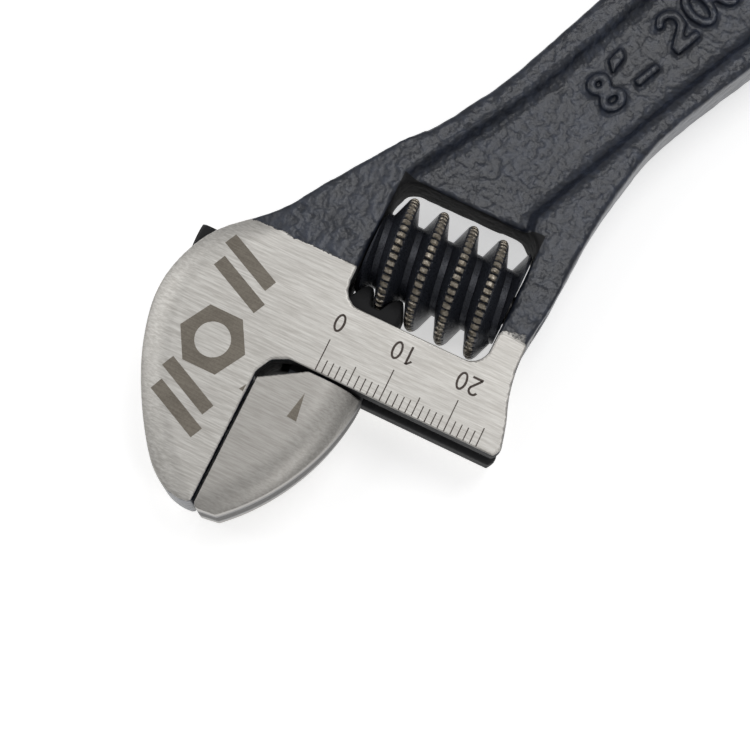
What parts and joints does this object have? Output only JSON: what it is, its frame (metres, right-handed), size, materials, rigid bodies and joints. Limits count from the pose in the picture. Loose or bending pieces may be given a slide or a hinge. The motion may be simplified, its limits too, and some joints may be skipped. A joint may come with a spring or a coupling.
{
  "type": "adjustable wrench",
  "caption": "Adjustable wrench with a forged handle and fixed jaw, and a sliding jaw driven by a knurled thumb worm on a pin.",
  "frame": {"origin": "centre of the hanging hole, in the middle of the handle's thickness", "axes": "+X along the handle towards the jaws, +Y towards the side that the sliding jaw opens to, +Z out of the flat face that carries the opening scale"},
  "size_m": [0.2, 0.0529, 0.018],
  "materials": {
    "forged_black": "semi-gloss black over a forged surface; the head's faces are ground to satin steel",
    "ground_steel": "satin, ground along the opening direction",
    "worm_black": "blackened, with the knurled crests worn to brownish steel",
    "pin_steel": "dark satin",
    "spring_steel": "bright drawn wire"
  },
  "bodies": {
    "wrench_body": {"body": "forged_black", "worm_pin": "pin_steel", "worm_spring": "spring_steel"},
    "jaw": {"movable_jaw": "ground_steel"},
    "thumb_worm": {"worm": "worm_black"}
  },
  "joints": [
    {"name": "worm_spin", "type": "hinge", "parent": "wrench_body", "child": "thumb_worm", "pos_m": [0.13978, 0.00526, 0], "axis": [0.4067, -0.9135, 0], "range_deg": [-30, 1864.6]},
    {"name": "jaw_slide", "type": "slide", "parent": "wrench_body", "child": "jaw", "axis": [-0.4067, 0.9135, 0], "range_m": [-0.00039, 0.0246]}
  ],
  "couplings": [
    {"joint": "worm_spin", "follows": "jaw_slide", "rad_per_m": 1322.8}
  ]
}
